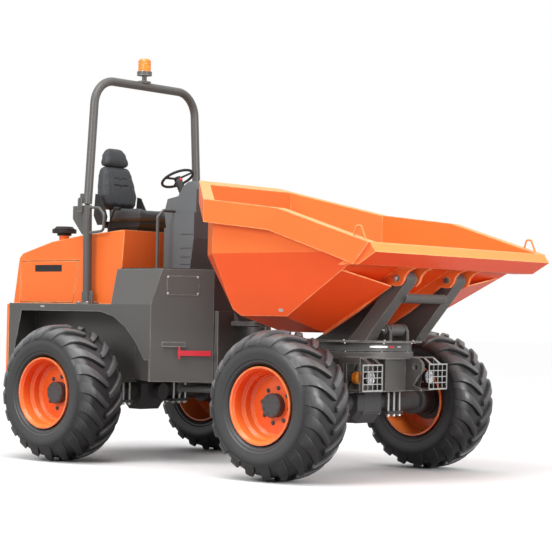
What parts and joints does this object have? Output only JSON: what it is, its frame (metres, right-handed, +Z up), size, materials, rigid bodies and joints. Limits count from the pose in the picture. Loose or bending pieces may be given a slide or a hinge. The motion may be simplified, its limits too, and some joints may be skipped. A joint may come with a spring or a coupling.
{
  "type": "swivel-tip site dumper",
  "caption": "Articulated site dumper with a swivelling, forward-tipping skip, open driver's platform and folding roll-over hoop.",
  "frame": {"origin": "on the ground under the centre of the machine's overall length and width, steered straight with the skip lowered", "axes": "+X forward along the machine towards the skip's lip, +Y to the driver's left, +Z up"},
  "size_m": [4.62, 2.48, 3.5937],
  "materials": {
    "amber_lens": "translucent amber plastic",
    "axle_paint": "dark grey enamel with road dust",
    "black_plastic": "moulded black plastic",
    "black_rubber": "ribbed black rubber",
    "cylinder_steel": "dark grey enamel",
    "engine_grey": "painted casting",
    "grey_paint": "satin dark grey enamel",
    "grey_plastic": "moulded mid grey plastic, fine grain",
    "guard_steel": "zinc plated steel",
    "hub_paint": "dark grey satin",
    "lamp_glass": "clear moulded lens",
    "orange_paint": "gloss orange enamel",
    "red_paint": "gloss red enamel",
    "rim_paint": "gloss orange-red enamel",
    "rod_chrome": "hard chromed rod",
    "seat_vinyl": "dark grey vinyl with stitched seams",
    "tyre_rubber": "black rubber with fine dust"
  },
  "bodies": {
    "rear_chassis": {"rear_frame": "grey_paint", "rear_axle": "axle_paint", "engine_block": "engine_grey", "rear_body": "grey_paint", "floor_mat": "black_rubber", "rear_bumper": "orange_paint", "bonnet": "orange_paint", "intake_cap": "black_plastic", "console": "grey_plastic", "seat_base": "black_plastic", "seat_cushion": "seat_vinyl", "seat_back": "seat_vinyl", "rops_posts": "grey_paint", "grab_rails": "grey_paint", "lock_bar": "red_paint"},
    "front_chassis": {"front_frame": "grey_paint", "front_axle": "axle_paint", "light_guards": "guard_steel", "headlamps": "lamp_glass", "indicators": "amber_lens"},
    "door_left": {"bonnet_door_left": "orange_paint"},
    "door_right": {"bonnet_door_right": "orange_paint"},
    "steering_wheel": {"steering_wheel": "black_plastic"},
    "rops_top": {"rops_hoop": "grey_paint", "beacon_lens": "amber_lens"},
    "turntable": {"turntable": "grey_paint"},
    "tip_barrel": {"tip_cylinder": "cylinder_steel"},
    "tip_rod": {"tip_rod": "rod_chrome"},
    "skip": {"skip": "orange_paint"},
    "steer_barrel_right": {"steer_cylinder_right": "cylinder_steel"},
    "steer_barrel_left": {"steer_cylinder_left": "cylinder_steel"},
    "steer_rod_right": {"steer_rod_right": "rod_chrome"},
    "steer_rod_left": {"steer_rod_left": "rod_chrome"},
    "wheel_front_right": {"tyre_front_right": "tyre_rubber", "rim_front_right": "rim_paint", "hub_front_right": "hub_paint"},
    "wheel_front_left": {"tyre_front_left": "tyre_rubber", "rim_front_left": "rim_paint", "hub_front_left": "hub_paint"},
    "wheel_rear_right": {"tyre_rear_right": "tyre_rubber", "rim_rear_right": "rim_paint", "hub_rear_right": "hub_paint"},
    "wheel_rear_left": {"tyre_rear_left": "tyre_rubber", "rim_rear_left": "rim_paint", "hub_rear_left": "hub_paint"}
  },
  "joints": [
    {"name": "articulation", "type": "hinge", "parent": "rear_chassis", "child": "front_chassis", "pos_m": [0.14, 0, 0.885], "axis": [0, 0, 1], "range_deg": [-30, 30]},
    {"name": "roll_front_right", "type": "hinge", "parent": "front_chassis", "child": "wheel_front_right", "pos_m": [1.239, -0.99, 0.586], "axis": [0, 1, 0], "continuous": true},
    {"name": "roll_front_left", "type": "hinge", "parent": "front_chassis", "child": "wheel_front_left", "pos_m": [1.239, 0.99, 0.586], "axis": [0, 1, 0], "continuous": true},
    {"name": "roll_rear_right", "type": "hinge", "parent": "rear_chassis", "child": "wheel_rear_right", "pos_m": [-1.199, -0.99, 0.586], "axis": [0, 1, 0], "continuous": true},
    {"name": "roll_rear_left", "type": "hinge", "parent": "rear_chassis", "child": "wheel_rear_left", "pos_m": [-1.199, 0.99, 0.586], "axis": [0, 1, 0], "continuous": true},
    {"name": "skip_slew", "type": "hinge", "parent": "front_chassis", "child": "turntable", "pos_m": [1.27, 0, 1.05], "axis": [0, 0, -1], "range_deg": [-90, 90]},
    {"name": "skip_tip", "type": "hinge", "parent": "turntable", "child": "skip", "pos_m": [1.96, 0, 1.585], "axis": [0, 1, 0], "range_deg": [0, 60]},
    {"name": "tip_cylinder_swing", "type": "hinge", "parent": "turntable", "child": "tip_barrel", "pos_m": [1.6, 0, 1.18], "axis": [0, 1, 0], "range_deg": [0, 70]},
    {"name": "tip_rod_stroke", "type": "slide", "parent": "tip_barrel", "child": "tip_rod", "axis": [-0.9997, 0, 0.026], "range_m": [0, 0.6]},
    {"name": "steer_swing_right", "type": "hinge", "parent": "rear_chassis", "child": "steer_barrel_right", "pos_m": [-0.43, -0.33, 0.64], "axis": [0, 0, 1], "range_deg": [-8, 8]},
    {"name": "steer_stroke_right", "type": "slide", "parent": "steer_barrel_right", "child": "steer_rod_right", "axis": [0.9853, 0.1708, 0], "range_m": [-0.18, 0.18]},
    {"name": "steer_swing_left", "type": "hinge", "parent": "rear_chassis", "child": "steer_barrel_left", "pos_m": [-0.43, 0.33, 0.64], "axis": [0, 0, 1], "range_deg": [-8, 8]},
    {"name": "steer_stroke_left", "type": "slide", "parent": "steer_barrel_left", "child": "steer_rod_left", "axis": [0.9853, -0.1708, 0], "range_m": [-0.18, 0.18]},
    {"name": "steering_wheel_turn", "type": "hinge", "parent": "rear_chassis", "child": "steering_wheel", "pos_m": [-0.82, 0, 2.49], "axis": [-0.4848, 0, 0.8746], "continuous": true},
    {"name": "rops_fold", "type": "hinge", "parent": "rear_chassis", "child": "rops_top", "pos_m": [-1.28, 0, 2.262], "axis": [0, -1, 0], "range_deg": [0, 90]},
    {"name": "door_left_lift", "type": "hinge", "parent": "rear_chassis", "child": "door_left", "pos_m": [-1.805, 0.598, 1.715], "axis": [1, 0, 0], "range_deg": [0, 80]},
    {"name": "door_right_lift", "type": "hinge", "parent": "rear_chassis", "child": "door_right", "pos_m": [-1.805, -0.598, 1.715], "axis": [-1, 0, 0], "range_deg": [0, 80]}
  ],
  "couplings": [
    {"joint": "tip_cylinder_swing", "follows": "skip_tip", "ratio": 1.07},
    {"joint": "tip_rod_stroke", "follows": "skip_tip", "m_per_rad": 0.513},
    {"joint": "steer_swing_right", "follows": "articulation", "ratio": 0.189},
    {"joint": "steer_swing_left", "follows": "articulation", "ratio": 0.189},
    {"joint": "steer_stroke_right", "follows": "articulation", "m_per_rad": 0.2238},
    {"joint": "steer_stroke_left", "follows": "articulation", "m_per_rad": -0.2238}
  ]
}
